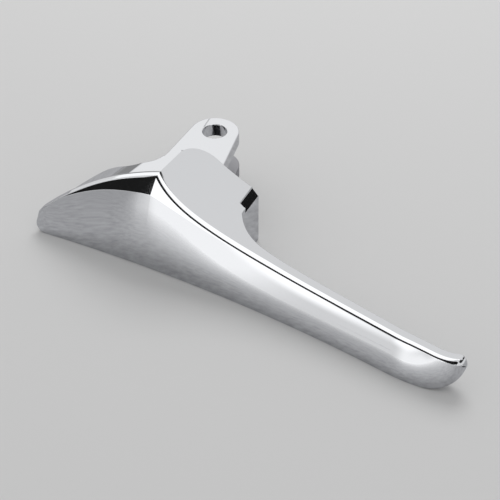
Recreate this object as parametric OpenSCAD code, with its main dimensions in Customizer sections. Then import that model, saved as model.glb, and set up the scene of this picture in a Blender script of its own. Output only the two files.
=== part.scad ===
// Interior door handle lever: one chrome-plated moulding that swings on an upright pin.
// It lies on its lower edge. X runs from the pivot to the free tip, the show face looks to -Y,
// and the origin is on the pin's axis, midway between the two ears.

/* [Reach] */
// From the pin's axis to the free tip
tip_reach = 87.5; // [76:0.2:96]
// From the pin's axis to the end of the wing
wing_reach = 26.4; // [22:0.2:32]
// From the pin's axis to the foot of the show face
face_reach = 32.8; // [30:0.2:36]
// From the pin's axis to the back of the body
body_back = 10; // [9:0.2:12]
// Where the peak stands, from the pin's axis
peak_x = 4.1; // [2:0.1:6]

/* [Crest line] */
// Height of the peak over the lower edge
peak_h = 23; // [21.5:0.1:26]
// Height of the bar at its free end
bar_h = 7.8; // [7:0.1:9]
// Height of the long sweep between bar and peak
sweep_h = 10.3; // [9.5:0.1:11.5]
// Length over which the long sweep dies out
sweep_len = 24.5; // [18:0.5:30]
// Length of the short rise just beside the peak
horn_len = 12.5; // [9:0.5:15]
// Radius of the wing's upper edge, seen from the front
wing_r = 62; // [50:1:90]
// Slope of the wing's upper edge at the peak, in degrees
wing_slope = 14.5; // [10:0.5:18]

/* [Show face] */
// Radius of the show face along its length, seen from above
face_bow_r = 410; // [300:10:800]
// How far the crest leans back over the foot at the peak
lean_peak = 6; // [5:0.1:7]
// The same lean at the end of the wing
lean_wing = 2.4; // [2:0.1:3]
// Height of the bevel under the crest at the peak
bevel_h = 3.9; // [3:0.1:4.5]
// Height of the bevel along the bar
bevel_bar = 0.3; // [0.2:0.05:0.8]
// Width of the soft edge behind the crest
edge_w = 1.9; // [1.4:0.1:2.2]
// Rise of that soft edge
edge_rise = 0.45; // [0.2:0.05:0.6]

/* [Pivot] */
// Diameter of the pin's bore
bore_d = 6; // [4:0.1:7]
// Thickness of each ear
ear_t = 3.4; // [2.8:0.1:3.6]
// Gap between the ears
ear_gap = 6.5; // [5.6:0.1:7]
// Wall of the eye round the bore
eye_wall = 3; // [2.4:0.1:4]
// Height of the upper ear's top over the lower edge
ear_top = 18.2; // [17:0.1:19]
// Width of the arm where it leaves the body
arm_w = 13.5; // [12:0.5:15]

/* [Body] */
// General wall of the moulding
wall = 2.4; // [1.8:0.1:3]
// Where the body ends and the finger recess starts, from the pin's axis
notch_x = 20.6; // [18:0.1:22]
// Chamfer on the body's end, along its top
notch_chamfer = 1.5; // [0.8:0.05:2]
// The same chamfer, down its side
chamfer_drop = 1.4; // [0.8:0.1:2.2]
// Corner radius of the body's raised block
block_r = 8; // [5:0.5:9]
// Slant of the block's two ends, in degrees
block_slant = 10.5; // [6:0.5:13]
// From the pin's axis to the back of the wing
wing_line = 22.2; // [21:0.1:24]
// How far the wing's back lies under its crest
wing_drop = 0.8; // [0.4:0.1:1.4]

/* [Finger side] */
// Width of the bar's top behind the crest, near the body
bar_top = 3.7; // [3.4:0.1:4.6]
// The same width at the free end
bar_top_end = 2.9; // [2.6:0.1:3.4]
// How far the recess runs in towards the pin beside the body
scoop = 6.6; // [5:0.1:8.5]
// Length over which the recess curves into the bar
scoop_len = 3.8; // [2.6:0.1:6]

/* [Ribs] */
// Thickness of the ribs in the pockets
rib_t = 1.5; // [1:0.1:2]
// Number of ribs in the wing's pocket
wing_ribs = 2; // [1:1:3]
// How far the ribs stop short of the pocket's mouth
rib_set = 1.6; // [0.5:0.1:3]

/* [Hidden] */

// Heights of the clevis, from the lower edge
ear_bottom = ear_top - 2 * ear_t - ear_gap;
clevis_mid = (ear_top + ear_bottom) / 2;
eye_r = bore_d / 2 + eye_wall;

// Rounded ends of the moulding: lengths and the heights they close at
tip_x = tip_reach;
wing_x = -wing_reach;
tip_top_l = 2.1;
tip_low_l = 11.3;
tip_nose = 6.3;
tip_turn_l = 16;
tip_turn = 6.1;
tip_thin = 0.3;
wing_top_l = 3.2;
wing_low_l = 2.2;
wing_end_l = 2.5;
wing_turn = 0.9;
wing_sweep = 13;
wing_tail = 1.3;
wing_bevel_in = 3.5;
nose_min = 2;
edge_r = 0.6;
lap = 0.2;
arm_right = 10.1;
arm_left = arm_right - arm_w - 3 * lap;
top_lift = 1.2;
arm_neck = 13.7;
arm_flare = 7.2;
web_y = 31.5;
chamfer_set = 1.4;
chamfer_l = 20;
cut = 3;
roof_set = 0.4;
crest_wall = 1.2 * wall;
slant = tan(block_slant);
core_x = wing_x + 6.2;
block_rib_x = (peak_x + notch_x) / 2;
roof_n = 8;
bevel_len = 6;
bevel_run_peak = 0.66;
bevel_run_bar = 0.5;
crown = 0.35;
bar_slope = 0.12;
bar_curve = 0.027;
slope_len = 17;
curve_len = 30;
bow_x = 42;

// Quarter ellipse that closes an end: 1 before the rounding, 0 at the very end
function closing(t) = t <= 0 ? 1 : sqrt(max(0, 1 - t * t));
function tip_close(x, len) = closing((x - tip_x + len) / len);
function wing_close(x, len) = closing((wing_x + len - x) / len);
function thinning(x, len) = tip_thin + (1 - tip_thin) * tip_close(x, len);

// Crest line seen from the front: an arc up the wing, two decays down to the bar
function crest_arc(u) = wing_r * (cos(wing_slope) - sqrt(1 - pow(sin(wing_slope) + u / wing_r, 2)));
function crest_fall(u) = sweep_h * exp(-u / sweep_len) + (peak_h - bar_h - sweep_h) * exp(-u / horn_len);
function crest_raw(x) = x < peak_x ? peak_h - crest_arc(peak_x - x) : bar_h + crest_fall(x - peak_x);
function wing_nose() = max(nose_min, crest_raw(wing_x));
function crest_z(x) =
    x < peak_x ? wing_nose() + (crest_raw(x) - wing_nose()) * wing_close(x, wing_top_l)
               : tip_nose + (crest_raw(x) - tip_nose) * tip_close(x, tip_top_l);
function low_z(x) =
    x < peak_x ? wing_nose() * (1 - wing_close(x, wing_low_l)) : tip_nose * (1 - tip_close(x, tip_low_l));

// Top of the wing behind its crest, level with the upper ear beside the block
function wing_top(x) = min(crest_raw(x) - wing_drop, ear_top);

// Plan of the show face's foot and of the crest above it
function foot_y(x) =
    -face_reach - pow(x - bow_x, 2) / (2 * face_bow_r) + tip_turn * (1 - tip_close(x, tip_turn_l))
    + wing_turn * (1 - wing_close(x, wing_end_l));
function lean(x) =
    x < peak_x ? lean_wing + (lean_peak - lean_wing) * (x - wing_x) / (peak_x - wing_x)
               : (face_run(x, face_rise(x)) + bevel_run(x) * face_bevel(x)) * thinning(x, tip_low_l);
function crest_y(x) = foot_y(x) + lean(x);
function bevel(x) =
    (x < peak_x ? bevel_h * max(0.02, (x - wing_x - wing_bevel_in) / (peak_x - wing_x - wing_bevel_in))
                : bevel_bar + (bevel_h - bevel_bar) * exp((peak_x - x) / bevel_len))
    * min(tip_close(x, tip_top_l), wing_close(x, wing_top_l));

// Lean of the bevel for each unit of its height
function bevel_run(x) =
    x < peak_x ? bevel_run_peak : bevel_run_bar + (bevel_run_peak - bevel_run_bar) * exp((peak_x - x) / bevel_len);

// Show face past the peak: slope at its foot and curve up to the bevel, both starting as they are at the peak
function face_bevel(x) = min(bevel(x), (crest_z(x) - low_z(x)) / 3);
function face_rise(x) = crest_z(x) - low_z(x) - face_bevel(x);
function easing(x, len) = 1 - exp(-pow((x - peak_x) / len, 2));
peak_rise = peak_h - bevel_h;
peak_run = lean_peak - bevel_run_peak * bevel_h;
function face_slope(x) =
    let (start = crown * peak_run / peak_rise) start + (bar_slope - start) * easing(x, slope_len);
function face_curve(x) =
    let (start = (1 - crown) * peak_run / pow(peak_rise, 2)) start + (bar_curve - start) * easing(x, curve_len);
function face_run(x, z) = face_slope(x) * z + face_curve(x) * z * z;
function face_crown(x) = x < peak_x ? crown : face_slope(x) * face_rise(x) / face_run(x, face_rise(x));

// Back of the moulding: rounded block, then the recess and the bar
notch_w = notch_x - slant * (crest_y(notch_x) + body_back + 3);
function bar_w(x) = bar_top + (bar_top_end - bar_top) * (x - notch_w) / (tip_x - 10 - notch_w);
function bar_back(x) =
    crest_y(x) + bar_w(x) * thinning(x, tip_top_l) + scoop * exp((notch_w - x) / scoop_len);
function block_back(x) =
    x < peak_x + block_r ? -body_back - block_r + sqrt(pow(block_r, 2) - pow(block_r - x + peak_x, 2)) : -body_back;
function wing_back(x) =
    let (t = min(1, (x - wing_x) / wing_sweep), y0 = crest_y(wing_x) + wing_tail, f = min(arm_flare, max(0, x - arm_left + arm_flare)))
    y0 + (-wing_line - y0) * (1 - pow(1 - t, 1.5)) + arm_flare - sqrt(arm_flare * arm_flare - f * f);

// How much higher than its crest the sloping top is at its back edge
function back_lift(x, back) = top_lift * min(1, (x - peak_x) / block_r) * (back - crest_y(x)) / face_reach;

// Coordinate across the slanted block of the line that leaves the crest at x
function rail_x(x) = x * cos(block_slant) + crest_y(x) * sin(block_slant);

// Point where a line from p touches a circle of radius r round the origin
function tangent(p, r, side) = let (a = atan2(p[1], p[0]) + side * acos(r / norm(p))) [r * cos(a), r * sin(a)];

// Show face from its foot to the bevel, as points of one section
face_n = 6;
function face_points(x) =
    let (z0 = low_z(x), h = crest_z(x) - z0, r = min(edge_r, h / 6), b = min(bevel(x), h / 3))
    let (run = lean(x) - bevel_run(x) * b, rise = h - b - r, bend = face_crown(x))
    concat([[x, crest_y(x), z0], [x, foot_y(x) + min(r, lean(x) / 2), z0]],
        [for (j = [0:face_n]) let (s = j / face_n)
            [x, foot_y(x) + run * (bend * s + (1 - bend) * s * s), z0 + r + rise * s]],
        [[x, crest_y(x), crest_z(x)]]);

// Soft edge and flat top from the crest back, then down to the foot
edge_n = 3;
function top_points(x, back, sl, step) =
    let (z0 = low_z(x), h = crest_z(x) - z0, yc = crest_y(x), w = min(edge_w, (back - yc) * 0.5))
    let (up = min(edge_rise, h / 8), r = min(edge_r, (back - yc) * 0.2, h / 6))
    let (zt = step ? max(z0 + 0.4 * h, wing_top(x)) : crest_z(x) + up)
    let (zb = min(zt, crest_z(x) + up), lift = step ? 0 : back_lift(x, back))
    concat(
        [for (j = [1:edge_n]) let (t = j / edge_n) [x - sl * w * t, yc + w * t, crest_z(x) + up * (1 - pow(1 - t, 2))]],
        [[x - sl * (w + 0.1 + r / 4), yc + w + 0.1 + r / 4, zb]],
        [[x - sl * (back - r - yc), back - r, zb + lift], [x - sl * (back - yc), back, zb + lift - r]],
        [[x - sl * (back - yc), back, z0]]);

// Skin through a row of sections that all have the same number of points
module skin(rings, split) {
    n = len(rings[0]);
    m = len(rings);
    last = (m - 1) * n;
    polyhedron(
        points = [for (ring = rings) each ring],
        faces = concat(
            [[for (j = [split:-1:0]) j]],
            [concat([for (j = [n - 1:-1:split]) j], [0])],
            [for (i = [0:m - 2]) for (j = [0:n - 1]) let (k = (j + 1) % n)
                each [[i * n + j, (i + 1) * n + k, (i + 1) * n + j], [i * n + j, i * n + k, (i + 1) * n + k]]],
            [[for (j = [0:split]) last + j]],
            [concat([last], [for (j = [split:n - 1]) last + j])]),
        convexity = 8);
}

crest_i = face_n + 3;

// Stations along X: wing up to the peak, raised block, then the bar as far as the tip
end_n = 8;
wing_n = 8;
block_n = 16;
bar_n = 26;
tip_n = 12;
gap = 0.01;
flare_x = arm_left - arm_flare;
wing_stations = concat(
    [for (i = [0:end_n - 1]) wing_x + gap + wing_end_l * (1 - cos(90 * i / end_n))],
    [for (i = [0:wing_n]) wing_x + wing_end_l + (flare_x - wing_x - wing_end_l) * i / wing_n],
    [for (i = [1:wing_n]) flare_x + arm_flare * sin(90 * i / wing_n)],
    [for (i = [1:4]) arm_left + (peak_x - gap - arm_left) * i / 4]);
block_stations = [for (i = [0:block_n]) peak_x + (notch_w - peak_x) * pow(i / block_n, 1.5)];
bar_stations = concat(
    [for (i = [0:bar_n]) notch_w + gap + (tip_x - tip_turn_l - notch_w) * pow(i / bar_n, 1.2)],
    [for (i = [1:tip_n]) tip_x - gap - tip_turn_l * (1 - sin(90 * i / tip_n))]);

// Slant of a section of the wing: square to the face at its end, slanted like the block at the peak
function wing_slant(x) = slant * min(1, max(0, (x - arm_left) / (peak_x - gap - arm_left)));

// Show face, wing, raised block and bar as one skin
module body() {
    skin(concat(
        [for (x = wing_stations) concat(face_points(x), top_points(x, wing_back(x), wing_slant(x), true))],
        [for (x = block_stations) concat(face_points(x), top_points(x, block_back(x), slant, false))],
        [for (x = bar_stations) concat(face_points(x), top_points(x, bar_back(x), slant, false))]),
        crest_i);
}

// Chamfer along the upper edge of the body's end
module end_chamfer() {
    y_in = bar_back(notch_w);
    top = crest_z(notch_w) + edge_rise + back_lift(notch_w, -body_back);
    translate([notch_w - slant * (-body_back - crest_y(notch_w)), -body_back, top])
        rotate([0, 0, block_slant])
            translate([0, y_in + chamfer_set + body_back + chamfer_l, 0])
                rotate([90, 0, 0])
                    linear_extrude(chamfer_l)
                        polygon([[-notch_chamfer, 0], [0, -chamfer_drop], [cut, -chamfer_drop], [cut, cut], [-notch_chamfer, cut]]);
}

// Plan of one ear with its arm, and the hollow corner towards the wing
module ear_plan(depth) {
    foot_r = [arm_right, -body_back - lap];
    foot_l = [arm_left, -arm_neck];
    circle(r = eye_r, $fn = 72);
    polygon([tangent(foot_l, eye_r, -1), foot_l, [arm_left + lap, -wing_line + arm_flare - 1], [arm_left + 1, -depth],
        [peak_x + wall, -depth], [peak_x + wall, -body_back - 2 * wall], foot_r, tangent(foot_r, eye_r, 1)]);
}

// Both ears, one above the other; the lower one runs on as a web inside the wing
module ears() {
    translate([0, 0, ear_bottom]) linear_extrude(ear_t) ear_plan(web_y);
    translate([0, 0, ear_top - ear_t]) linear_extrude(ear_t) ear_plan(wing_line + 2);
}

// Cored pocket of the block, open at the back; its roof follows the sloping top
module block_pocket() {
    x0 = peak_x + wall + roof_set;
    x1 = notch_w - wall;
    roof = [for (i = [roof_n:-1:0]) let (w = x0 + (x1 - x0) * i / roof_n) [rail_x(w), min(crest_z(w), ear_top) - wall]];
    intersection() {
        rotate([0, 0, block_slant])
            rotate([90, 0, 0])
                linear_extrude(2 * face_reach)
                    polygon(concat([[rail_x(x0), wall], [rail_x(x1), wall]], roof));
        pocket_depth(foot_y(x1), crest_y(x1));
    }
}

// Cored pocket of the wing, open at the back
module wing_pocket() {
    x1 = peak_x - wall / 2;
    roof = [for (i = [roof_n:-1:0]) let (x = core_x + (x1 - core_x) * i / roof_n) [x, max(2 * wall, wing_top(x) - wall)]];
    intersection() {
        rotate([90, 0, 0])
            linear_extrude(2 * face_reach)
                polygon(concat([[core_x, wall], [x1, wall]], roof));
        pocket_depth(foot_y(peak_x), crest_y(peak_x));
    }
}

// Room behind the leaning show face, from just inside it to the open back
module pocket_depth(foot, crest) {
    rotate([90, 0, 90])
        translate([0, 0, wing_x])
            linear_extrude(tip_x - wing_x)
                polygon([[0, 0], [foot + wall, 0], [crest + crest_wall, peak_h], [0, peak_h]]);
}

// One upright rib behind the show face, from x on, up to height h and back to the given line
module rib(x, h, back) {
    rotate([90, 0, 90])
        translate([0, 0, x])
            linear_extrude(rib_t)
                polygon([[back, wall / 2], [foot_y(x) + wall / 2, wall / 2], [crest_y(x) + wall / 2, h], [back, h]]);
}

// Ribs of the wing's pocket, and one in the block's
module ribs() {
    for (i = [1:wing_ribs]) {
        x = core_x + i * (arm_left - core_x) / (wing_ribs + 1) - rib_t / 2;
        rib(x, wing_top(x) - wall / 2, -wing_line - rib_set);
    }
    rib(block_rib_x, crest_z(block_rib_x + block_r / 2) - wall / 2, -body_back - rib_set);
}

// The whole moulding
module handle_lever() {
    color([0.86, 0.87, 0.89])
        translate([0, 0, -clevis_mid])
            difference() {
                union() {
                    difference() {
                        body();
                        block_pocket();
                        wing_pocket();
                        end_chamfer();
                    }
                    ribs();
                    ears();
                }
                cylinder(h = 3 * ear_top, d = bore_d, center = true, $fn = 72);
            }
}

handle_lever();
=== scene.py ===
import math
import bpy
import bmesh
import numpy as np
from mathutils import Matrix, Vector


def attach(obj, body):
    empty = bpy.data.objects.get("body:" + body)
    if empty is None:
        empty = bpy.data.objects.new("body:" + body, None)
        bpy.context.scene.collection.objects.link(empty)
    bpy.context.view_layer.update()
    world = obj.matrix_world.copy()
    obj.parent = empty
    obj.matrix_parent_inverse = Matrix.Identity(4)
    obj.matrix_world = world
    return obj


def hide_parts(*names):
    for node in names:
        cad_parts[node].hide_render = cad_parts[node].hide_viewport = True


# sizes are in millimetres on the part's own axes, and go to metres when a mesh is made
mm = 0.001
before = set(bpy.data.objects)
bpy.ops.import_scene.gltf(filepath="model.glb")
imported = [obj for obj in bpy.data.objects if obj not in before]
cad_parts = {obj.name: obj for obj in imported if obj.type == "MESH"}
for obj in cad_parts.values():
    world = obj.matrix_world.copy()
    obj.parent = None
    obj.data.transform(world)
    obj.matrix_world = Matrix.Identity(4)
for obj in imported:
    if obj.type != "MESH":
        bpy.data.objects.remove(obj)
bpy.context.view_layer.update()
print("frame loaded", flush=True)

# the lever's own sizes: most are those of its CAD, and some of the wing, the tip and the chamfer are finer
lever = dict(
    tipReach=87.5, wingReach=26.4, faceReach=32.8, footLimit=38.17, bodyBack=10.0, wall=2.4, gap=0.01,
    # crest line seen from the front
    peakX=4.1, peakH=23.0, barH=7.8, sweepH=10.3, sweepLen=24.5, hornLen=12.5, wingR=62.0, wingSlope=14.5,
    # crest and foot seen from above
    faceBowR=410.0, bowX=42.0, leanPeak=6.0, leanWing=2.4, wingBlendX=3.0, wingBlendL=14.0,
    # show face and the bevel under the crest
    bevelH=3.9, bevelBar=0.3, bevelLen=6.0, bevelRun=0.66, bevelRunBar=0.5, crown=0.35, crownWing=0.85,
    barSlope=0.12, barCurve=0.027, slopeLen=17.0, curveLen=30.0, wingBevelIn=5.2,
    # flat strip along the crest
    lineDown=0.17, lineIn=0.22, lineUp=0.06, linePeak=0.7, lineTip=1.1, lineTipX=5.0,
    lineFrom=4.5, lineFadeL=5.0, lineLeast=0.1, lineRound=0.1,
    # band behind the crest
    edgeW=1.9, edgeRise=0.45, bandW=1.25, bandRise=0.40, bandRound=0.6,
    # rounding of the other edges
    footRound=0.6, footSet=0.6, bevelRound=0.5, rimRound=0.55, backRound=0.4, stepRound=0.12, stepSet=0.1,
    # ears, bore and arm
    boreR=3.0, boreRim=0.2, earT=3.4, earGap=6.5, eyeR=5.99, earTop=18.2, earRim=0.22, earIn=0.2, earRoot=2.0,
    earStep=1.0, earSink=0.003, armRight=10.1, armLeft=-4.0, armNeck=13.7, armFlare=7.2, webY=31.5,
    # block behind the peak, its end and the chamfer there
    blockR=8.0, slantDeg=10.5, slantPeak=0.095, topLift=1.2, notchX=20.6, notchIn=3.0,
    notchChamfer=1.8, chamferDrop=1.7, chamferSet=1.4, chamferSkew=0.5,
    # top and back of the wing, and its end
    wingLine=22.2, wingDrop=0.45, wingDropArm=0.65, wingRiseX=-14.0, wingStepL=9.0, wingSweep=11.0,
    wingTail=2.3, wingTopL=1.4, wingTopFall=0.4, wingLift=0.6, wingLowL=2.6, wingLowRise=2.9,
    wingEndL=1.0, wingTurn=0.8,
    # back of the bar, and the tip
    barTop=3.7, barTopEnd=2.9, barEndL=10.0, scoop=6.6, scoopLen=3.8,
    tipTopL=1.5, tipLowL=9.2, tipNose=6.35, tipTurnL=17.0, tipTurn=7.2, tipThin=0.22,
    tipFadeL=13.0, tipLean=0.5,
    # pockets and their ribs
    coreInset=6.2, pocketSet=0.4, crestWall=1.2, ribT=1.5, ribSet=1.6)
p = type("Sizes", (), lever)
wingX, tipX = -p.wingReach, p.tipReach
slant = math.tan(math.radians(p.slantDeg))
earBottom = p.earTop - 2 * p.earT - p.earGap
clevisMid = (p.earTop + earBottom) / 2
coreX = wingX + p.coreInset
quarter = math.pi / 2


def clamp(t):
    return min(1, max(0, t))


def ramp(t, size=1):
    # from 0 up to size with both ends level
    t = clamp(t)
    return size * t * t * (3 - 2 * t)


def closing(t):
    return 1.0 if t <= 0 else math.sqrt(max(0.0, 1 - t * t))


def tipClose(x, length):
    return closing((x - tipX + length) / length)


def wingClose(x, length):
    return closing((wingX + length - x) / length)


def thinning(x, length):
    return p.tipThin + (1 - p.tipThin) * tipClose(x, length)


def tipFade(x):
    return 1 - ramp((x - tipX + p.tipFadeL) / (p.tipFadeL - 1), 1 - p.tipLean)


def crestRaw(x):
    if x < p.peakX:
        s = math.sin(math.radians(p.wingSlope)) + (p.peakX - x) / p.wingR
        return p.peakH - p.wingR * (math.cos(math.radians(p.wingSlope)) - math.sqrt(1 - s * s))
    u = x - p.peakX
    horn = (p.peakH - p.barH - p.sweepH) * math.exp(-u / p.hornLen)
    return p.barH + p.sweepH * math.exp(-u / p.sweepLen) + horn


def crestZ(x):
    if x < p.peakX:
        lift = p.wingLift * max(0, (x - p.wingRiseX) / (wingX - p.wingRiseX)) ** 2
        return crestRaw(x) + lift - p.wingTopFall * (1 - wingClose(x, p.wingTopL))
    return p.tipNose + (crestRaw(x) - p.tipNose) * tipClose(x, p.tipTopL)


def lowZ(x):
    if x < p.peakX:
        return p.wingLowRise * (1 - wingClose(x, p.wingLowL))
    return p.tipNose * (1 - tipClose(x, p.tipLowL))


def wingTop(x):
    drop = ramp((x - p.wingRiseX) / p.wingStepL, p.wingDropArm)
    return min(crestRaw(x) - p.wingDrop - drop, p.earTop - p.earSink)


def footY(x):
    return max(-p.footLimit, -p.faceReach - (x - p.bowX) ** 2 / (2 * p.faceBowR)
               + p.tipTurn * (1 - tipClose(x, p.tipTurnL)) + p.wingTurn * (1 - wingClose(x, p.wingEndL)))


def wingBlend(x):
    return ramp((p.peakX - p.wingBlendX - x) / p.wingBlendL)


def lean(x):
    if x < p.peakX:
        even = p.leanWing + (p.leanPeak - p.leanWing) * (x - wingX) / (p.peakX - wingX)
        return even + (p.leanPeak * crestRaw(x) / p.peakH - even) * wingBlend(x)
    return (faceRun(x, faceRise(x)) + bevelRun(x) * faceBevel(x)) * tipFade(x)


def crestY(x):
    return footY(x) + lean(x)


def bevelAt(x):
    if x < p.peakX:
        b = p.bevelH * max(0.02, (x - wingX - p.wingBevelIn) / (p.peakX - wingX - p.wingBevelIn))
    else:
        b = p.bevelBar + (p.bevelH - p.bevelBar) * math.exp((p.peakX - x) / p.bevelLen)
    return b * min(tipClose(x, p.tipTopL), wingClose(x, p.wingTopL))


def bevelRun(x):
    if x < p.peakX:
        return p.bevelRun
    return p.bevelRunBar + (p.bevelRun - p.bevelRunBar) * math.exp((p.peakX - x) / p.bevelLen)


# the show face past the peak: the slope at its foot and the curve up to its bevel start as they are there
peakRise = p.peakH - p.bevelH
peakRun = p.leanPeak - p.bevelRun * p.bevelH


def faceBevel(x):
    return min(bevelAt(x), (crestZ(x) - lowZ(x)) / 3)


def faceRise(x):
    return crestZ(x) - lowZ(x) - faceBevel(x)


def easing(x, length):
    return 1 - math.exp(-((x - p.peakX) / length) ** 2)


def faceSlope(x):
    start = p.crown * peakRun / peakRise
    return start + (p.barSlope - start) * easing(x, p.slopeLen)


def faceCurve(x):
    start = (1 - p.crown) * peakRun / peakRise ** 2
    return start + (p.barCurve - start) * easing(x, p.curveLen)


def faceRun(x, z):
    return faceSlope(x) * z + faceCurve(x) * z * z


def faceCrown(x):
    if x < p.peakX:
        return p.crown + (p.crownWing - p.crown) * wingBlend(x)
    return faceSlope(x) * faceRise(x) / faceRun(x, faceRise(x))


def slantAt(x):
    return p.slantPeak + (slant - p.slantPeak) * clamp((x - p.peakX) / p.blockR)


# x on the crest where the block ends: notchX is meant notchIn in front of the block's back
notchW = p.notchX - slant * (crestY(p.notchX) + p.bodyBack + p.notchIn)


def barW(x):
    return p.barTop + (p.barTopEnd - p.barTop) * (x - notchW) / (tipX - p.barEndL - notchW)


def barBack(x):
    return crestY(x) + barW(x) * thinning(x, p.tipTopL) + p.scoop * math.exp((notchW - x) / p.scoopLen)


def blockBack(x):
    if x < p.peakX + p.blockR:
        return -p.bodyBack - p.blockR + math.sqrt(max(0, p.blockR ** 2 - (p.blockR - x + p.peakX) ** 2))
    return -p.bodyBack


def wingBack(x):
    t = min(1, (x - wingX) / p.wingSweep)
    y0 = crestY(wingX) + p.wingTail
    f = min(p.armFlare, max(0, x - p.armLeft + p.armFlare))
    return y0 + (-p.wingLine - y0) * (1 - (1 - t) ** 1.5) + p.armFlare - math.sqrt(p.armFlare ** 2 - f * f)


def backLift(x, back):
    return p.topLift * min(1, (x - p.peakX) / p.blockR) * (back - crestY(x)) / p.faceReach


def roundCorners(points, radii, steps):
    # replaces each corner by an arc with a fixed number of points, so that all sections match
    out = []
    n = len(points)
    for i in range(n):
        q = np.array(points[i], float)
        if steps[i] < 2:
            out.append(q)
            continue
        a = np.array(points[i - 1], float) - q
        b = np.array(points[(i + 1) % n], float) - q
        la, lb = np.linalg.norm(a), np.linalg.norm(b)
        a, b = a / max(la, 1e-9), b / max(lb, 1e-9)
        half = math.acos(max(-1, min(1, float(a @ b)))) / 2
        reach = min(radii[i] / max(math.tan(half), 1e-6), 0.45 * la, 0.45 * lb)
        r = reach * math.tan(half)
        mid = a + b
        if np.linalg.norm(mid) < 1e-6 or r < 1e-6:
            out += [q] * steps[i]
            continue
        centre = q + mid / np.linalg.norm(mid) * r / math.sin(half)
        start, end = q + a * reach - centre, q + b * reach - centre
        angle = math.acos(max(-1, min(1, float(start @ end) / max(r * r, 1e-12))))
        for k in range(steps[i]):
            w = k / (steps[i] - 1)
            if angle < 1e-5:
                out.append(centre + start * (1 - w) + end * w)
            else:
                swept = start * math.sin((1 - w) * angle) + end * math.sin(w * angle)
                out.append(centre + swept / math.sin(angle))
    return out


faceSteps = 26  # points up the show face of each section


def section(x, back, sl, step):
    # the outline at one station, from the foot up the show face, over the crest and down the back
    z0, z1, yf, yc = lowZ(x), crestZ(x), footY(x), crestY(x)
    h = z1 - z0
    b = min(bevelAt(x), h / 3)
    run = lean(x) - bevelRun(x) * b
    rise = h - b
    w = min(p.edgeW, (back - yc) * 0.5)
    up = min(p.edgeRise * w / p.edgeW, h / 8)
    zt = max(z0 + 0.4 * h, wingTop(x)) if step else z1 + up
    zb = min(zt, z1 + up)
    lift = 0 if step else backLift(x, back)
    pts, rad, num = [((yc + yf) / 2 + p.footSet, z0)], [0], [1]

    def add(y, z, r=0, k=1):
        pts.append((y, z))
        rad.append(r)
        num.append(k)

    add(yf, z0, p.footRound, 8)
    bend = faceCrown(x)
    for j in range(1, faceSteps):
        s = j / faceSteps
        add(yf + run * (bend * s + (1 - bend) * s * s), z0 + rise * s)
    add(yf + run, z0 + rise, p.bevelRound, 5)
    # the flat strip is wider at the peak and turns down at the tip
    k = (min(1, h / 6, max(p.lineLeast, (x - wingX - p.lineFrom) / p.lineFadeL))
         * (1 + p.linePeak * math.exp(-abs(x - p.peakX) / p.bevelLen)))
    t = clamp((x - tipX + p.lineTipX) / p.lineTipX)
    down = min(p.lineDown * k + p.lineTip * t * t, h / 4)
    add(yc - bevelRun(x) * down, z1 - down, p.lineRound + t, 5)
    add(yc + min(p.lineIn * (k + t), w / 3), z1 + p.lineUp * k * up / p.edgeRise, p.lineRound + t, 5)
    add(yc + w * p.bandW / p.edgeW, z1 + up * p.bandRise / p.edgeRise, p.bandRound, 6)
    add(yc + w, z1 + up, p.bandRound, 4)
    add(yc + w + p.stepSet + min(p.bandRound, h / 6) / 4, zb, p.stepRound, 4)
    add(yc + w + 0.5 * (back - yc - w), zb + lift * 0.55)
    add(back, zb + lift, min(p.rimRound, h / 6), 8)
    add(back, z0, min(p.backRound, h / 8), 4)
    ring = roundCorners(pts, rad, num)
    return [(x - sl * max(0, q[0] - yc), q[0], q[1]) for q in ring]


chrome = bpy.data.materials.new("chrome")
# satin finish for the lower ear, the pockets and the ribs; its dark colour is painted shade
shadedSatin = bpy.data.materials.new("shadedSatin")


def newMesh(name, verts, faces):
    mesh = bpy.data.meshes.new(name)
    mesh.materials.append(chrome)
    mesh.materials.append(shadedSatin)
    mesh.from_pydata([(v[0] * mm, v[1] * mm, (v[2] - clevisMid) * mm) for v in verts], [], faces)
    mesh.update()
    obj = bpy.data.objects.new(name, mesh)
    bpy.context.collection.objects.link(obj)
    return obj


def outward(obj):
    # turns all faces outward
    bm = bmesh.new()
    bm.from_mesh(obj.data)
    bmesh.ops.recalc_face_normals(bm, faces=bm.faces)
    bm.to_mesh(obj.data)
    bm.free()
    return obj


def tubeFaces(n, m):
    # faces of a closed tube of m rings with n points each, with both ends shut
    faces = [(i * n + j, i * n + (j + 1) % n, (i + 1) * n + (j + 1) % n, (i + 1) * n + j)
             for i in range(m - 1) for j in range(n)]
    faces.append(tuple(range(n - 1, -1, -1)))
    faces.append(tuple((m - 1) * n + j for j in range(n)))
    return faces


def barFaces(n):
    # faces of a bar between two outlines with n points each
    return [tuple(range(n)), tuple(range(2 * n - 1, n - 1, -1))] + [
        (j, n + j, n + (j + 1) % n, (j + 1) % n) for j in range(n)]


# stations: many near the ends and the peak, fewer along the bar
density = dict(wingEnd=24, wing=30, flare=20, arm=24, block=59, bar=150, tip=47)
flareX = p.armLeft - p.armFlare
stations = []
for i in range(density["wingEnd"]):
    stations.append((wingX + p.gap + p.wingEndL * (1 - math.cos(quarter * i / density["wingEnd"])), "wing"))
for i in range(density["wing"]):
    stations.append((wingX + p.wingEndL + (flareX - wingX - p.wingEndL) * i / density["wing"], "wing"))
for i in range(density["flare"]):
    stations.append((flareX + p.armFlare * math.sin(quarter * i / density["flare"]), "wing"))
for i in range(density["arm"] + 1):
    stations.append((p.armLeft + (p.peakX - p.gap - p.armLeft) * i / density["arm"], "wing"))
for i in range(density["block"] + 1):
    stations.append((p.peakX + (notchW - p.peakX) * (i / density["block"]) ** 1.5, "block"))
for i in range(density["bar"]):
    stations.append((notchW + p.gap + (tipX - p.tipTurnL - notchW) * (i / density["bar"]) ** 1.2, "bar"))
for i in range(density["tip"] + 1):
    stations.append((tipX - p.gap - p.tipTurnL * (1 - math.sin(quarter * i / density["tip"])), "bar"))

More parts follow.
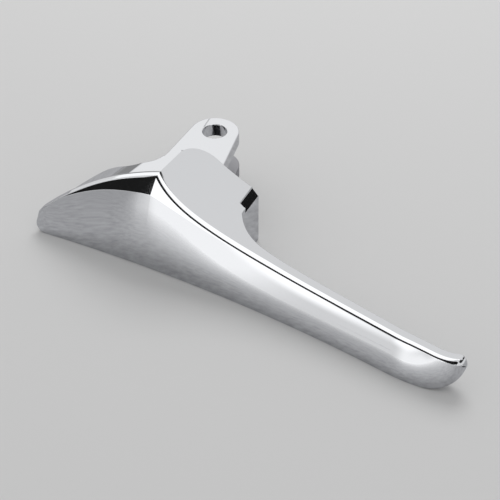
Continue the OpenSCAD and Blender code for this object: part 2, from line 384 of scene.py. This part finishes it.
rings = []
for x, part in stations:
    if part == "wing":
        sl = slantAt(x) * clamp((x - p.armLeft) / (p.peakX - p.gap - p.armLeft))
        rings.append(section(x, wingBack(x), sl, True))
    elif part == "block":
        rings.append(section(x, blockBack(x), slantAt(x), False))
    else:
        rings.append(section(x, barBack(x), slant, False))
points = [v for ring in rings for v in ring]
body = outward(newMesh("lever_body", points, tubeFaces(len(rings[0]), len(rings))))
print("body skinned", len(body.data.polygons), flush=True)


def flatten(obj):
    bpy.context.view_layer.objects.active = obj
    for m in list(obj.modifiers):
        bpy.ops.object.modifier_apply(modifier=m.name)


def unpolishedShaded(obj):
    # faces of this piece, or cut by it, take the finish in slot 1: satin, darkened as painted shade for these
    # hidden and recessed parts
    for f in obj.data.polygons:
        f.material_index = 1
    return obj


def combine(obj, other, operation):
    m = obj.modifiers.new("combine", "BOOLEAN")
    m.operation, m.solver, m.object = operation, "EXACT", other
    flatten(obj)
    bpy.data.objects.remove(other, do_unlink=True)


rimSteps = 4


def rimPoint(rim, k):
    # step k of a rounded rim, as the distances from its two faces
    a = quarter * k / rimSteps
    return rim * (1 - math.sin(a)), rim * (1 - math.cos(a))


def prism(name, outline, z0, z1, rim):
    # upright extrusion of a plan outline, run anticlockwise, with small rounded rims
    pts = np.array(outline, float)
    before, after = pts - np.roll(pts, 1, 0), np.roll(pts, -1, 0) - pts
    normals = []
    for a, b in zip(before, after):
        na = np.array([a[1], -a[0]]) / max(np.linalg.norm(a), 1e-9)
        nb = np.array([b[1], -b[0]]) / max(np.linalg.norm(b), 1e-9)
        s = na + nb
        s /= max(np.linalg.norm(s), 1e-9)
        normals.append(s / max(0.5, float(s @ na)))
    normals = np.array(normals)
    arc = [rimPoint(rim, k) for k in range(rimSteps + 1)]
    levels = [(u, z0 + v) for u, v in arc] + [(v, z1 - u) for u, v in arc]
    verts = [(q[0], q[1], z) for inset, z in levels for q in pts - normals * inset]
    return newMesh(name, verts, tubeFaces(len(pts), len(levels)))


def sidePrism(name, outline, x0, x1, turn=0.0, alongY=False):
    # extrusion along X of a (y, z) outline, or along -Y of an (x, z) outline turned about the pivot
    c, s = math.cos(turn), math.sin(turn)
    verts = []
    for d in (x0, x1):
        for u, z in outline:
            x, y = (u, d) if alongY else (d, u)
            verts.append((x * c - y * s, x * s + y * c, z))
    return outward(newMesh(name, verts, barFaces(len(outline))))


def pocketDepth(foot, crest):
    front, top = foot + p.wall, crest + p.crestWall * p.wall
    return sidePrism("depth", [(0, 0), (front, 0), (top, p.peakH), (0, p.peakH)], wingX, tipX)


def railX(x):
    a = math.radians(p.slantDeg)
    return x * math.cos(a) + crestY(x) * math.sin(a)


roofSteps = 16


def pocket(name, x0, x1, place, roofAt, turn):
    # cutter from below up to a wall's thickness under the top
    roof = []
    for i in range(roofSteps, -1, -1):
        x = x0 + (x1 - x0) * i / roofSteps
        roof.append((place(x), roofAt(x)))
    return sidePrism(name, [(place(x0), p.wall), (place(x1), p.wall)] + roof, 0, -2 * p.faceReach, turn, True)


blockTo = notchW - p.wall
blockPocket = pocket("block_pocket", p.peakX + p.wall + p.pocketSet, blockTo, railX,
                     lambda x: min(crestZ(x), p.earTop) - p.wall, math.radians(p.slantDeg))
combine(blockPocket, pocketDepth(footY(blockTo), crestY(blockTo)), "INTERSECT")
wingPocket = pocket("wing_pocket", coreX, p.peakX - p.wall / 2, lambda x: x,
                    lambda x: max(2 * p.wall, wingTop(x) - p.wall), 0.0)
combine(wingPocket, pocketDepth(footY(p.peakX), crestY(p.peakX)), "INTERSECT")
combine(body, unpolishedShaded(blockPocket), "DIFFERENCE")
combine(body, unpolishedShaded(wingPocket), "DIFFERENCE")

# chamfer on the body's end, with its inner end cut at a skew
chamferCut = dict(over=3.0, length=20)
a = math.radians(p.slantDeg)
top = crestZ(notchW) + p.edgeRise + backLift(notchW, -p.bodyBack)
corner = (notchW - slant * (-p.bodyBack - crestY(notchW)), -p.bodyBack)
inner = barBack(notchW) + p.chamferSet + p.bodyBack
over = chamferCut["over"]
profile = [(-p.notchChamfer, 0), (0, -p.chamferDrop), (over, -p.chamferDrop), (over, over),
           (-p.notchChamfer, over)]
verts = []
for d in (inner, inner + chamferCut["length"]):
    for u, z in profile:
        v = d + (p.chamferSkew * max(0, -u) if d == inner else 0)
        verts.append((corner[0] + u * math.cos(a) - v * math.sin(a),
                      corner[1] + u * math.sin(a) + v * math.cos(a), top + z))
combine(body, outward(newMesh("chamfer", verts, barFaces(len(profile)))), "DIFFERENCE")
print("pockets and chamfer cut", flush=True)

eyeSteps = 96  # points round the eye of an ear, and round the bore


def tangent(q, r, side):
    t = math.atan2(q[1], q[0]) + side * math.acos(r / math.hypot(*q))
    return (r * math.cos(t), r * math.sin(t))


def earPlan(depth):
    # round the eye, then along tangents to the block and to the wing
    right, left = (p.armRight, -p.bodyBack - p.earIn), (p.armLeft, -p.armNeck)
    tr, tl = tangent(right, p.eyeR, 1), tangent(left, p.eyeR, -1)
    a0, a1 = math.atan2(tr[1], tr[0]), math.atan2(tl[1], tl[0])
    if a1 < a0:
        a1 += 2 * math.pi
    turns = [a0 + (a1 - a0) * i / eyeSteps for i in range(eyeSteps + 1)]
    return [(p.eyeR * math.cos(t), p.eyeR * math.sin(t)) for t in turns] + [
        left, (p.armLeft + p.earIn, -p.wingLine + p.armFlare - p.earStep), (p.armLeft + p.earStep, -depth),
        (p.peakX + p.wall, -depth), (p.peakX + p.wall, -p.bodyBack - 2 * p.wall), right]


lower = prism("lower_ear", earPlan(p.webY), earBottom, earBottom + p.earT, p.earRim)
upper = prism("upper_ear", earPlan(p.wingLine + p.earRoot), p.earTop - p.earT, p.earTop, p.earRim)


def rib(x, h, back):
    sink = p.wall / 2
    outline = [(back, sink), (footY(x) + sink, sink), (crestY(x) + sink, h), (back, h)]
    return sidePrism("rib", outline, x, x + p.ribT)


ribList = []
for i in (1, 2):
    x = coreX + i * (p.armLeft - coreX) / 3 - p.ribT / 2
    ribList.append(rib(x, wingTop(x) - p.wall / 2, -p.wingLine - p.ribSet))
x = (p.peakX + p.notchX) / 2
ribList.append(rib(x, crestZ(x + p.blockR / 2) - p.wall / 2, -p.bodyBack - p.ribSet))
combine(body, upper, "UNION")
for piece in [lower] + ribList:
    combine(body, unpolishedShaded(piece), "UNION")


def boreCutter(past=2):
    # straight bore with a small flare at each of the four ear faces
    arc = [rimPoint(p.boreRim, k) for k in range(rimSteps + 1)]
    rows = [(p.boreRim, earBottom - past)]
    for low, high in ((earBottom, earBottom + p.earT), (p.earTop - p.earT, p.earTop)):
        rows += [(u, low + v) for u, v in arc] + [(v, high - u) for u, v in arc]
    rows.append((p.boreRim, p.earTop + past))
    verts = []
    for flare, z in rows:
        for j in range(eyeSteps):
            t = 2 * math.pi * j / eyeSteps
            verts.append(((p.boreR + flare) * math.cos(t), (p.boreR + flare) * math.sin(t), z))
    return newMesh("bore_cutter", verts, tubeFaces(eyeSteps, len(rows)))


combine(body, boreCutter(), "DIFFERENCE")


def groove(start, end, width, depth, above=0.2):
    # shallow vee cut into the upper ear's top face, from start to end in plan
    a, b = np.array(start), np.array(end)
    side = np.array([a[1] - b[1], b[0] - a[0]]) / np.linalg.norm(b - a) * width / 2 * (1 + above / depth)
    z = p.earTop
    verts = [(*(a + side), z + above), (*(a - side), z + above), (*a, z - depth),
             (*(b + side), z + above), (*(b - side), z + above), (*b, z - depth)]
    return outward(newMesh("groove", verts, [(0, 1, 2), (5, 4, 3), (0, 3, 4, 1), (1, 4, 5, 2), (2, 5, 3, 0)]))


# surface traces on the upper ear, in plan: the knit line at the hole, and a small nick beside the block
traces = dict(knit=dict(start=(-3.3, 0.05), end=(-4.75, 5.42), width=0.24, depth=0.2),
              nick=dict(start=(-1.70, -11.32), end=(-0.36, -10.90), width=0.4, depth=0.3))
combine(body, groove(**traces["knit"]), "DIFFERENCE")
combine(body, groove(**traces["nick"]), "DIFFERENCE")

shading = dict(sharpFrom=22, weight=60)
body.name = "handle_lever_shell"
for f in body.data.polygons:
    f.use_smooth = True
bpy.context.view_layer.objects.active = body
body.select_set(True)
bpy.ops.object.shade_smooth_by_angle(angle=math.radians(shading["sharpFrom"]))
weighted = body.modifiers.new("weighted", "WEIGHTED_NORMAL")
weighted.keep_sharp, weighted.weight = True, shading["weight"]
flatten(body)
print("lever built", len(body.data.polygons), flush=True)


def feed(tree, socket, value):
    # a node's output is linked to the socket, and anything else is set on it
    if isinstance(value, bpy.types.NodeSocket):
        tree.links.new(value, socket)
    else:
        socket.default_value = value


def addNode(tree, kind, output, values, **settings):
    # makes a node, sets it up, feeds its named sockets and gives back one of its outputs
    node = tree.nodes.new(kind)
    for name, value in settings.items():
        setattr(node, name, value)
    for name, value in values.items():
        feed(tree, node.inputs[name], value)
    return node.outputs[output]


def mathNode(tree, operation, *values):
    node = tree.nodes.new("ShaderNodeMath")
    node.operation = operation
    for socket, value in zip(node.inputs, values):
        feed(tree, socket, value)
    return node.outputs[0]


def mapRange(tree, value, low, high, toLow=0.0, toHigh=1.0, kind="LINEAR"):
    ends = {"Value": value, "From Min": low, "From Max": high, "To Min": toLow, "To Max": toHigh}
    return addNode(tree, "ShaderNodeMapRange", "Result", ends, interpolation_type=kind)


def mixNode(tree, factor, a, b, kind="FLOAT"):
    return addNode(tree, "ShaderNodeMix", "Result", {"Factor": factor, "A": a, "B": b}, data_type=kind)


def noise(tree, coordinates, size, detail, roughness=0.5):
    settings = {"Vector": coordinates, "Scale": size, "Detail": detail, "Roughness": roughness}
    return addNode(tree, "ShaderNodeTexNoise", "Fac", settings)


def nodeGroup(name, inputs, outputs):
    g = bpy.data.node_groups.new(name, "ShaderNodeTree")
    for label, value in inputs.items():
        socket = g.interface.new_socket(name=label, in_out="INPUT", socket_type="NodeSocketFloat")
        socket.default_value = value
    for label, kind in outputs.items():
        g.interface.new_socket(name=label, in_out="OUTPUT", socket_type=kind)
    return g, g.nodes.new("NodeGroupInput").outputs, g.nodes.new("NodeGroupOutput").inputs


def placeGroup(tree, group, name, values):
    node = tree.nodes.new("ShaderNodeGroup")
    node.node_tree, node.name = group, name
    for label, value in values.items():
        feed(tree, node.inputs[label], value)
    return node


# both finishes share a slight ripple, softened edges and faint handling marks
plating = dict(rippleDetail=2.0, rippleDepth=0.00004, edgeSamples=8,
               markSize=90.0, markDetail=5.0, markRange=(0.45, 0.75))
chromeLook = dict(colour=(0.80, 0.81, 0.83, 1), roughness=0.035, marks=0.05,
                  ripple=0.05, rippleSize=260.0, edge=0.00018)
# the satin's roughness is its finish, and its darker colour is painted shade under the upper ear and in the
# pockets
shadedSatinLook = dict(colour=(0.40, 0.40, 0.42, 1), roughness=0.38, marks=0.1,
                 ripple=0.05, rippleSize=260.0, edge=0.00018)


def platingGroup():
    g, given, result = nodeGroup("plating",
                                 {"Ripple Size": 260, "Ripple": 0.05, "Edge": 0.00018,
                                  "Clean": 0.035, "Marked": 0.085},
                                 {"Normal": "NodeSocketVector", "Roughness": "NodeSocketFloat"})
    spot = g.nodes.new("ShaderNodeTexCoord").outputs["Object"]
    waves = noise(g, spot, given["Ripple Size"], plating["rippleDetail"])
    edge = addNode(g, "ShaderNodeBevel", "Normal", {"Radius": given["Edge"]}, samples=plating["edgeSamples"])
    bump = {"Strength": given["Ripple"], "Distance": plating["rippleDepth"], "Height": waves, "Normal": edge}
    g.links.new(addNode(g, "ShaderNodeBump", "Normal", bump), result["Normal"])
    marks = noise(g, spot, plating["markSize"], plating["markDetail"])
    roughness = mapRange(g, marks, *plating["markRange"], given["Clean"], given["Marked"])
    g.links.new(roughness, result["Roughness"])
    return g


platingNodes = platingGroup()


def plated(mat, look):
    mat.use_nodes = True
    tree = mat.node_tree
    shader = tree.nodes["Principled BSDF"]
    shader.inputs["Base Color"].default_value = look["colour"]
    shader.inputs["Metallic"].default_value = 1.0
    finish = placeGroup(tree, platingNodes, "plating", {
        "Ripple Size": look["rippleSize"], "Ripple": look["ripple"], "Edge": look["edge"],
        "Clean": look["roughness"], "Marked": look["roughness"] + look["marks"]})
    tree.links.new(finish.outputs["Normal"], shader.inputs["Normal"])
    tree.links.new(finish.outputs["Roughness"], shader.inputs["Roughness"])


plated(chrome, chromeLook)
plated(shadedSatin, shadedSatinLook)
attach(body, "root")
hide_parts("handle_lever")
print("lever plated", flush=True)

# the floor: plain and pale for the camera, mottled like worn stone in the mirror of the chrome, where its
# darker tone is a painted reflection; for mirror rays it fades out a hand's breadth in front, where the
# bright panel beyond shows instead
floorLook = dict(seen=(0.66, 0.66, 0.66, 1),
                 mirroredDark=(0.37, 0.37, 0.38, 1), mirroredPale=(0.51, 0.51, 0.52, 1),
                 grain=420.0, grainDetail=6.0, grainRoughness=0.65, contrast=(0.35, 0.65),
                 roughness=0.9, specular=0.1, size=6.0, sink=0.00002,
                 near=-0.036, far=-0.100, slant=-0.465, left=(0.004, 0.026))


def floorMaterial():
    mat = bpy.data.materials.new("floor")
    mat.use_nodes = True
    tree = mat.node_tree
    shader = tree.nodes["Principled BSDF"]
    shader.inputs["Roughness"].default_value = floorLook["roughness"]
    shader.inputs["Specular IOR Level"].default_value = floorLook["specular"]
    path = tree.nodes.new("ShaderNodeLightPath")
    spot = tree.nodes.new("ShaderNodeTexCoord").outputs["Object"]
    grain = noise(tree, spot, floorLook["grain"], floorLook["grainDetail"], floorLook["grainRoughness"])
    speckle = mapRange(tree, grain, *floorLook["contrast"])
    # stone for mirror rays: its grain is the floor's own, and its tone darker than the camera's is a painted
    # reflection
    stoneAndPaintedReflection = mixNode(tree, speckle, floorLook["mirroredDark"], floorLook["mirroredPale"], "RGBA")
    colour = mixNode(tree, path.outputs["Is Camera Ray"], stoneAndPaintedReflection, floorLook["seen"], "RGBA")
    tree.links.new(colour, shader.inputs["Base Color"])
    # the part that mirror rays pass through: outward from the lever, and not at its left
    axes = tree.nodes.new("ShaderNodeSeparateXYZ")
    tree.links.new(spot, axes.inputs["Vector"])
    across = tree.nodes.new("ShaderNodeVectorMath")
    across.operation = "DOT_PRODUCT"
    across.inputs[1].default_value = (1, floorLook["slant"], 0)
    tree.links.new(spot, across.inputs[0])
    outwardShare = mapRange(tree, axes.outputs["Y"], floorLook["near"], floorLook["far"])
    rightShare = mapRange(tree, across.outputs["Value"], *floorLook["left"], kind="SMOOTHSTEP")
    share = mathNode(tree, "MULTIPLY", outwardShare, rightShare)
    clear = tree.nodes.new("ShaderNodeBsdfTransparent")
    ground = tree.nodes.new("ShaderNodeMixShader")
    tree.links.new(mathNode(tree, "MULTIPLY", share, path.outputs["Is Glossy Ray"]), ground.inputs["Fac"])
    tree.links.new(shader.outputs["BSDF"], ground.inputs[1])
    tree.links.new(clear.outputs["BSDF"], ground.inputs[2])
    tree.links.new(ground.outputs["Shader"], tree.nodes["Material Output"].inputs["Surface"])
    return mat


bpy.ops.mesh.primitive_plane_add(size=floorLook["size"], location=(0, 0, -clevisMid * mm - floorLook["sink"]))
floor = bpy.context.object
floor.name = "floor"
floor.data.materials.append(floorMaterial())
print("floor laid", flush=True)

# the room that the chrome mirrors: soft panels, each laid over those before it, placed in degrees by bearing
# from the camera (0 ahead, 90 right) and height over the floor; all but mirror rays see the plain level
room = dict(turn=35.0, base=0.77, plain=0.62)
panels = [
    dict(name="beyond_floor", bearing=-140, halfWidth=50, height=-32, halfHeight=30, soft=4, level=0.74),
    dict(name="left_low_glow", bearing=-150, halfWidth=27, height=-14, halfHeight=32, soft=4, level=1.1),
    dict(name="left_front_panel", bearing=-150, halfWidth=34, height=20, halfHeight=11, soft=4, level=1.35),
    dict(name="left_shade", bearing=-80, halfWidth=24, height=4, halfHeight=12, soft=6, level=0.2),
    dict(name="left_dark", bearing=-95.5, halfWidth=19.7, height=43, halfHeight=32.5, soft=0.8, level=0.012),
    dict(name="bevel_dark", bearing=-110, halfWidth=8, height=27, halfHeight=11, soft=0.8, level=0.012),
    dict(name="wing_dark", bearing=-84, halfWidth=10, height=7, halfHeight=8, soft=1.5, level=0.012),
    dict(name="high_dark", bearing=-148, halfWidth=58, height=54, halfHeight=23, soft=1.2, level=0.012),
    dict(name="top_panel", bearing=10, halfWidth=65, height=75, halfHeight=18, soft=2, level=1.3),
    dict(name="tip_dark", bearing=102, halfWidth=33, height=38, halfHeight=16, soft=1.5, level=0.02),
    dict(name="right_high", bearing=85, halfWidth=17, height=66, halfHeight=11, soft=2, level=1.3),
    dict(name="wing_shade", bearing=-17, halfWidth=12, height=9, halfHeight=10, soft=3, level=0.27),
    dict(name="rim_light", bearing=-42, halfWidth=9, height=32, halfHeight=13, soft=2, level=1.2),
    dict(name="band_light", bearing=-48, halfWidth=26, height=60, halfHeight=16, soft=1.5, level=1.3),
    dict(name="back_panel", bearing=-3, halfWidth=8, height=35, halfHeight=5, soft=2, level=0.96),
    dict(name="right_dark", bearing=64, halfWidth=12, height=21, halfHeight=5, soft=1.5, level=0.01),
]


def panelGroup():
    # mask of one panel: 1 inside, 0 outside, with a soft edge
    g, given, result = nodeGroup("soft panel",
                                 {"Bearing": 0, "Height": 0, "Panel Bearing": 0, "Half Width": 10,
                                  "Panel Height": 0, "Half Height": 10, "Soft Edge": 3},
                                 {"Mask": "NodeSocketFloat"})

    def inside(distance, half):
        away = mathNode(g, "ABSOLUTE", distance)
        edge = [mathNode(g, operation, half, given["Soft Edge"]) for operation in ("SUBTRACT", "ADD")]
        return mapRange(g, away, *edge, 1, 0, "SMOOTHSTEP")

    turn = mathNode(g, "WRAP", mathNode(g, "SUBTRACT", given["Bearing"], given["Panel Bearing"]), 180, -180)
    rise = mathNode(g, "SUBTRACT", given["Height"], given["Panel Height"])
    mask = mathNode(g, "MULTIPLY", inside(turn, given["Half Width"]), inside(rise, given["Half Height"]))
    g.links.new(mask, result["Mask"])
    return g


world = bpy.data.worlds.new("room")
bpy.context.scene.world = world
world.use_nodes = True
tree = world.node_tree
turned = tree.nodes.new("ShaderNodeVectorRotate")
turned.rotation_type = "Z_AXIS"
turned.inputs["Angle"].default_value = -math.radians(room["turn"])
tree.links.new(tree.nodes.new("ShaderNodeTexCoord").outputs["Generated"], turned.inputs["Vector"])
split = tree.nodes.new("ShaderNodeSeparateXYZ")
tree.links.new(turned.outputs["Vector"], split.inputs["Vector"])
bearing = mathNode(tree, "ARCTAN2", split.outputs["X"], split.outputs["Y"])
height = mathNode(tree, "ARCSINE", split.outputs["Z"])
bearing, height = [mathNode(tree, "MULTIPLY", angle, 180 / math.pi) for angle in (bearing, height)]
level = room["base"]
panelNodes = panelGroup()
for q in panels:
    mask = placeGroup(tree, panelNodes, q["name"], {
        "Bearing": bearing, "Height": height, "Panel Bearing": q["bearing"], "Half Width": q["halfWidth"],
        "Panel Height": q["height"], "Half Height": q["halfHeight"], "Soft Edge": q["soft"]})
    level = mixNode(tree, mask.outputs["Mask"], level, q["level"])
path = tree.nodes.new("ShaderNodeLightPath")
plain = mixNode(tree, path.outputs["Is Glossy Ray"], room["plain"], level)
tree.links.new(plain, tree.nodes["Background"].inputs["Color"])
print("room lit", flush=True)

# one large soft light from behind and above, which mirror rays don't see
lamp = dict(bearing=12.0, height=52.0, distance=0.6, size=0.35, power=1.5)
lightData = bpy.data.lights.new("soft_light", "AREA")
lightData.size, lightData.energy = lamp["size"], lamp["power"]
light = bpy.data.objects.new("soft_light", lightData)
bpy.context.collection.objects.link(light)
turn = math.radians(90 + room["turn"] - lamp["bearing"])
rise = math.radians(lamp["height"])
toward = Vector((math.cos(rise) * math.cos(turn), math.cos(rise) * math.sin(turn), math.sin(rise)))
light.location = toward * lamp["distance"]
light.rotation_euler = (-light.location).to_track_quat("-Z", "Y").to_euler()
light.visible_glossy = False

view = dict(place=(210.73, -285.85, 247.03), aim=(20.90, -14.74, -11.55), lens=125.5, sensor=36, near=0.01)
cam = bpy.data.cameras.new("camera")
camera = bpy.data.objects.new("camera", cam)
bpy.context.collection.objects.link(camera)
camera.location = Vector(view["place"]) * mm
camera.rotation_euler = (Vector(view["aim"]) - Vector(view["place"])).to_track_quat("-Z", "Y").to_euler()
cam.lens, cam.sensor_width, cam.clip_start = view["lens"], view["sensor"], view["near"]
bpy.context.scene.camera = camera
bpy.context.scene.view_settings.view_transform = "Standard"
print("light and camera set", flush=True)
